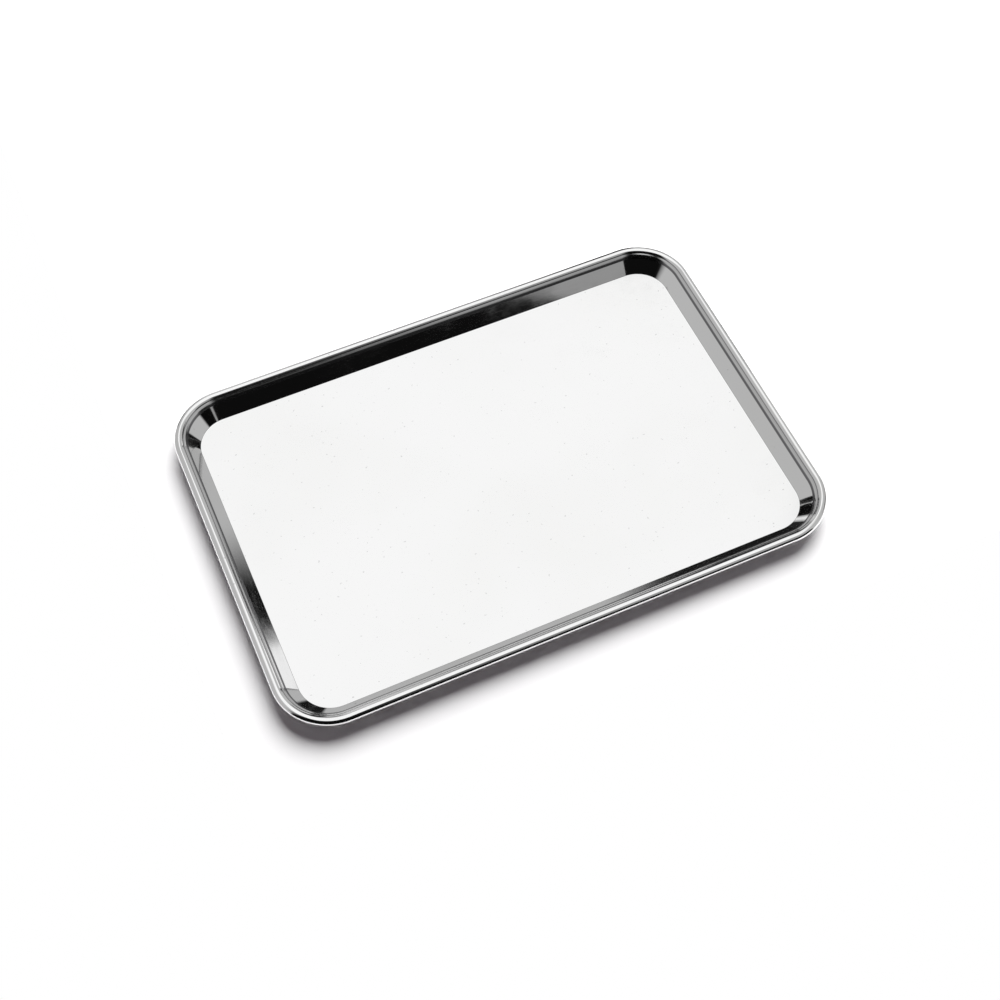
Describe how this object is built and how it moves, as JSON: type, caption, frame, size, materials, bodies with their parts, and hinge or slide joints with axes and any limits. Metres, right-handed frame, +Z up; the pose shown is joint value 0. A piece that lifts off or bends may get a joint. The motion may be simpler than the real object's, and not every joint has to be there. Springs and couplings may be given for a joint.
{
  "type": "pill counting tray",
  "caption": "Shallow rectangular polished steel tray with rounded corners, sloping walls and a wired, rolled rim, for counting and carrying tablets.",
  "frame": {"origin": "centre of the underside, on the table", "axes": "+X along the tray's length, +Y across its width, +Z up out of the open side"},
  "size_m": [0.325, 0.225, 0.012],
  "materials": {
    "polished_steel": "polished",
    "wire_steel": "satin"
  },
  "bodies": {
    "root": {"tray_pan": "polished_steel", "rim_wire": "wire_steel"}
  },
  "joints": []
}
